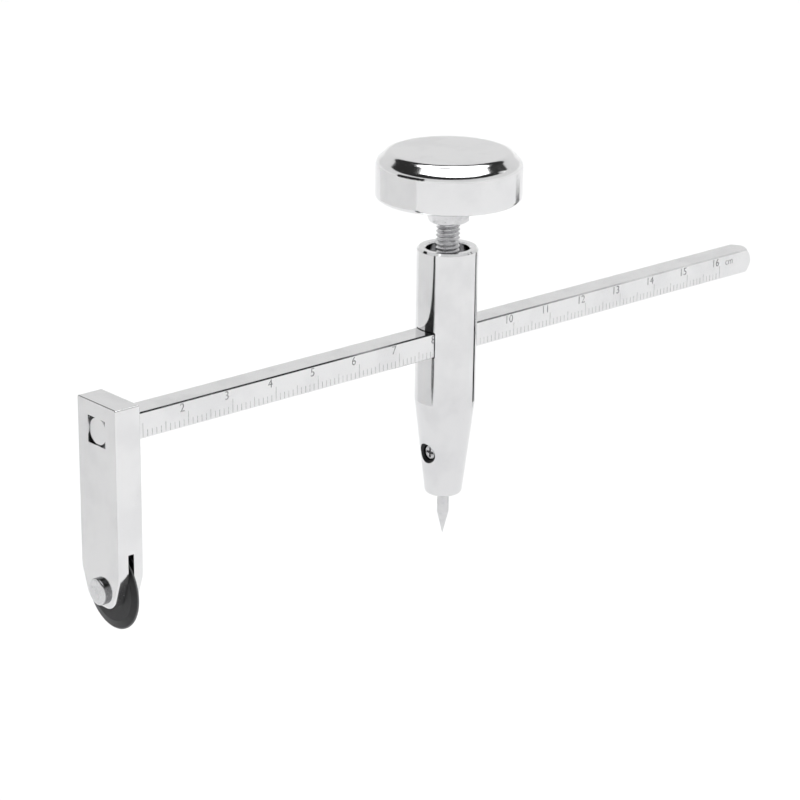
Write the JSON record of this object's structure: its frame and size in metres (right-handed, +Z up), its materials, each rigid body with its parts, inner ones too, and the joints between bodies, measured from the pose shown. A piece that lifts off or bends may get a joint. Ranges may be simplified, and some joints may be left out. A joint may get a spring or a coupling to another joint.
{
  "type": "marking gauge",
  "caption": "Beam compass marking gauge: a needle marks the centre and a wheel on a sliding scale bar cuts the circle.",
  "frame": {"origin": "tip of the centre needle, the middle of the circles it marks", "axes": "+Z up along the needle and pillar, +X along the scale bar away from the cutting wheel"},
  "size_m": [0.1688, 0.0278, 0.0777],
  "materials": {
    "bar_steel": "bright plated, engraved scale",
    "head_chrome": "bright plated",
    "wheel_black": "black hardened, ground edge",
    "rivet_steel": "satin",
    "pillar_chrome": "mirror plated, turned",
    "pad_brass": "turned",
    "stud_steel": "plated thread",
    "nut_steel": "plated",
    "knob_chrome": "bright plated",
    "needle_steel": "ground, hardened",
    "screw_steel": "plated"
  },
  "bodies": {
    "pillar": {"center_pillar": "pillar_chrome"},
    "arm": {"scale_bar": "bar_steel", "cutter_head": "head_chrome", "wheel_axle": "rivet_steel"},
    "wheel": {"cutting_wheel": "wheel_black"},
    "pad": {"pressure_pad": "pad_brass"},
    "clamp": {"clamp_stud": "stud_steel", "lock_nut": "nut_steel", "clamp_knob": "knob_chrome"},
    "needle": {"center_point": "needle_steel"},
    "set_screw": {"point_screw": "screw_steel"}
  },
  "joints": [
    {"name": "bar_slide", "type": "slide", "parent": "pillar", "child": "arm", "axis": [1, 0, 0], "range_m": [-0.076, 0.069]},
    {"name": "wheel_spin", "type": "hinge", "parent": "arm", "child": "wheel", "pos_m": [-0.0797, 0, 0.0107], "axis": [1, 0, 0], "continuous": true},
    {"name": "clamp_travel", "type": "slide", "parent": "pillar", "child": "pad", "axis": [0, 0, 1], "range_m": [0, 0.004]},
    {"name": "knob_turn", "type": "hinge", "parent": "pad", "child": "clamp", "pos_m": [0, 0, 0.05], "axis": [0, 0, 1], "range_deg": [0, 1800]},
    {"name": "needle_slide", "type": "slide", "parent": "pillar", "child": "needle", "axis": [0, 0, 1], "range_m": [-0.003, 0.0035]},
    {"name": "set_screw_turn", "type": "hinge", "parent": "pillar", "child": "set_screw", "pos_m": [-0.0025, 0, 0.0179], "axis": [-1, 0, 0], "range_deg": [0, 360]}
  ],
  "couplings": [
    {"joint": "clamp_travel", "follows": "knob_turn", "m_per_rad": 0.0001273}
  ]
}
